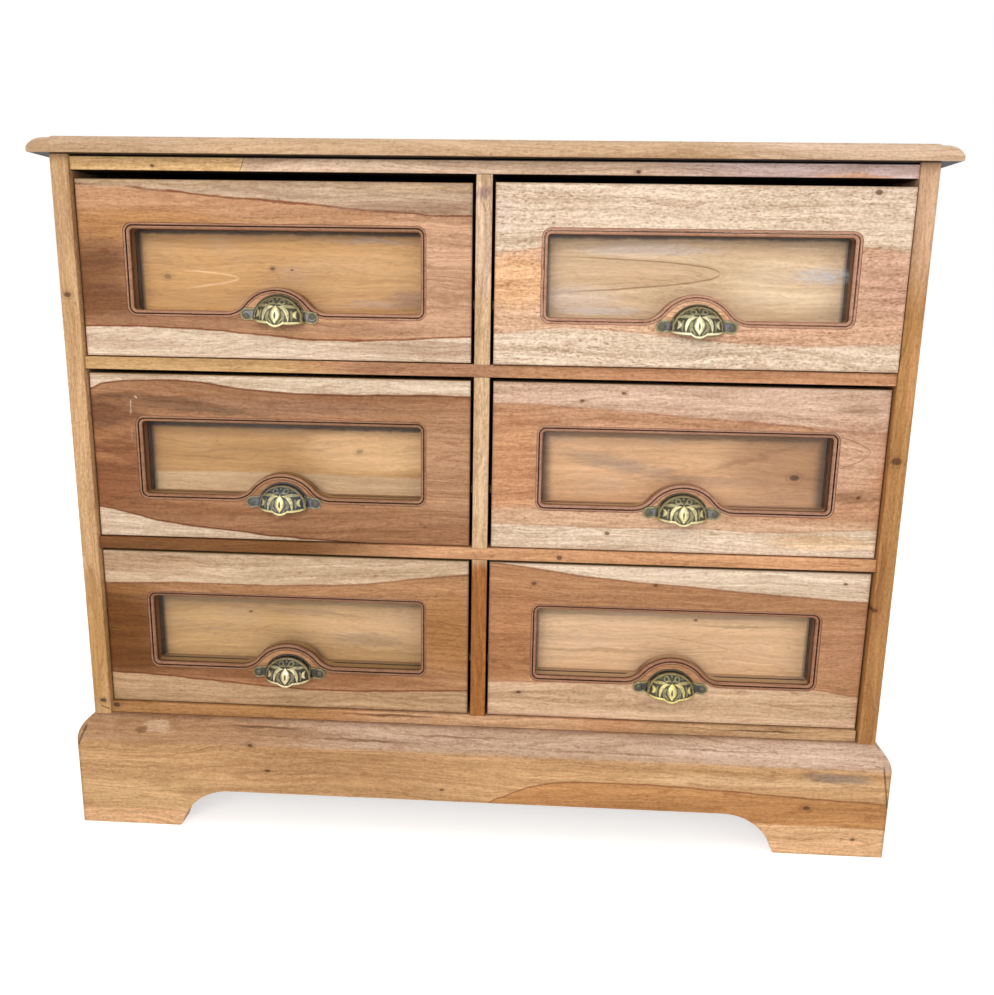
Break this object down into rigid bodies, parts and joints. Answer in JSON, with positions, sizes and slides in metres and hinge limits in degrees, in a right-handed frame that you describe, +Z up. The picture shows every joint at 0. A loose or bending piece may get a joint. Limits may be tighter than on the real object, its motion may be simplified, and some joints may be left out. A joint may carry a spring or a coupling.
{
  "type": "seed storage cabinet",
  "caption": "Low wooden cabinet of glass-fronted drawers with arched window edges and brass cup pulls, on a bracket-foot plinth.",
  "frame": {"origin": "middle of the cabinet's bounding box, on the floor", "axes": "+Z up, the drawers face -Y, +X to the viewer's right"},
  "size_m": [0.962, 0.402, 0.797],
  "materials": {
    "top_board_wood": "dry matt wax",
    "left_post_wood": "dry matt wax",
    "right_post_wood": "dry matt wax",
    "rail_wood": "dry matt wax",
    "muntin_wood": "dry matt wax",
    "drawer_front_wood": "dry matt wax over figured heartwood and sapwood",
    "bead_wood": "sawn, unfinished",
    "display_wood": "dry matt wax",
    "plain_inner_wood": "planed, unfinished",
    "back_wood": "sawn, unfinished",
    "plinth_wood": "dry matt wax",
    "window_glass": "clear",
    "antique_brass": "dark patina rubbed bright on the raised parts",
    "screw_brass": "dull"
  },
  "bodies": {
    "case": {"top_board": "top_board_wood", "left_side_board": "left_post_wood", "right_side_board": "right_post_wood", "front_rails": "rail_wood", "muntins": "muntin_wood", "centre_partition": "plain_inner_wood", "drawer_runners": "plain_inner_wood", "bottom_board": "plain_inner_wood", "back_panel": "back_wood", "plinth_front": "plinth_wood", "plinth_sides": "plinth_wood", "plinth_back": "plinth_wood"},
    "top_left_drawer": {"top_left_drawer_front": "drawer_front_wood", "top_left_drawer_glass": "window_glass", "top_left_drawer_glass_beads": "bead_wood", "top_left_drawer_display_panel": "display_wood", "top_left_drawer_box": "plain_inner_wood", "top_left_drawer_bottom": "plain_inner_wood", "top_left_drawer_cup_pull": "antique_brass", "top_left_drawer_pull_screws": "screw_brass"},
    "top_right_drawer": {"top_right_drawer_front": "drawer_front_wood", "top_right_drawer_glass": "window_glass", "top_right_drawer_glass_beads": "bead_wood", "top_right_drawer_display_panel": "display_wood", "top_right_drawer_box": "plain_inner_wood", "top_right_drawer_bottom": "plain_inner_wood", "top_right_drawer_cup_pull": "antique_brass", "top_right_drawer_pull_screws": "screw_brass"},
    "middle_left_drawer": {"middle_left_drawer_front": "drawer_front_wood", "middle_left_drawer_glass": "window_glass", "middle_left_drawer_glass_beads": "bead_wood", "middle_left_drawer_display_panel": "display_wood", "middle_left_drawer_box": "plain_inner_wood", "middle_left_drawer_bottom": "plain_inner_wood", "middle_left_drawer_cup_pull": "antique_brass", "middle_left_drawer_pull_screws": "screw_brass"},
    "middle_right_drawer": {"middle_right_drawer_front": "drawer_front_wood", "middle_right_drawer_glass": "window_glass", "middle_right_drawer_glass_beads": "bead_wood", "middle_right_drawer_display_panel": "display_wood", "middle_right_drawer_box": "plain_inner_wood", "middle_right_drawer_bottom": "plain_inner_wood", "middle_right_drawer_cup_pull": "antique_brass", "middle_right_drawer_pull_screws": "screw_brass"},
    "bottom_left_drawer": {"bottom_left_drawer_front": "drawer_front_wood", "bottom_left_drawer_glass": "window_glass", "bottom_left_drawer_glass_beads": "bead_wood", "bottom_left_drawer_display_panel": "display_wood", "bottom_left_drawer_box": "plain_inner_wood", "bottom_left_drawer_bottom": "plain_inner_wood", "bottom_left_drawer_cup_pull": "antique_brass", "bottom_left_drawer_pull_screws": "screw_brass"},
    "bottom_right_drawer": {"bottom_right_drawer_front": "drawer_front_wood", "bottom_right_drawer_glass": "window_glass", "bottom_right_drawer_glass_beads": "bead_wood", "bottom_right_drawer_display_panel": "display_wood", "bottom_right_drawer_box": "plain_inner_wood", "bottom_right_drawer_bottom": "plain_inner_wood", "bottom_right_drawer_cup_pull": "antique_brass", "bottom_right_drawer_pull_screws": "screw_brass"}
  },
  "joints": [
    {"name": "top_left_drawer_slide", "type": "slide", "parent": "case", "child": "top_left_drawer", "axis": [0, -1, 0], "range_m": [0, 0.27]},
    {"name": "top_right_drawer_slide", "type": "slide", "parent": "case", "child": "top_right_drawer", "axis": [0, -1, 0], "range_m": [-0.01, 0.26]},
    {"name": "middle_left_drawer_slide", "type": "slide", "parent": "case", "child": "middle_left_drawer", "axis": [0, -1, 0], "range_m": [0, 0.27]},
    {"name": "middle_right_drawer_slide", "type": "slide", "parent": "case", "child": "middle_right_drawer", "axis": [0, -1, 0], "range_m": [0, 0.27]},
    {"name": "bottom_left_drawer_slide", "type": "slide", "parent": "case", "child": "bottom_left_drawer", "axis": [0, -1, 0], "range_m": [0, 0.27]},
    {"name": "bottom_right_drawer_slide", "type": "slide", "parent": "case", "child": "bottom_right_drawer", "axis": [0, -1, 0], "range_m": [0, 0.27]}
  ]
}
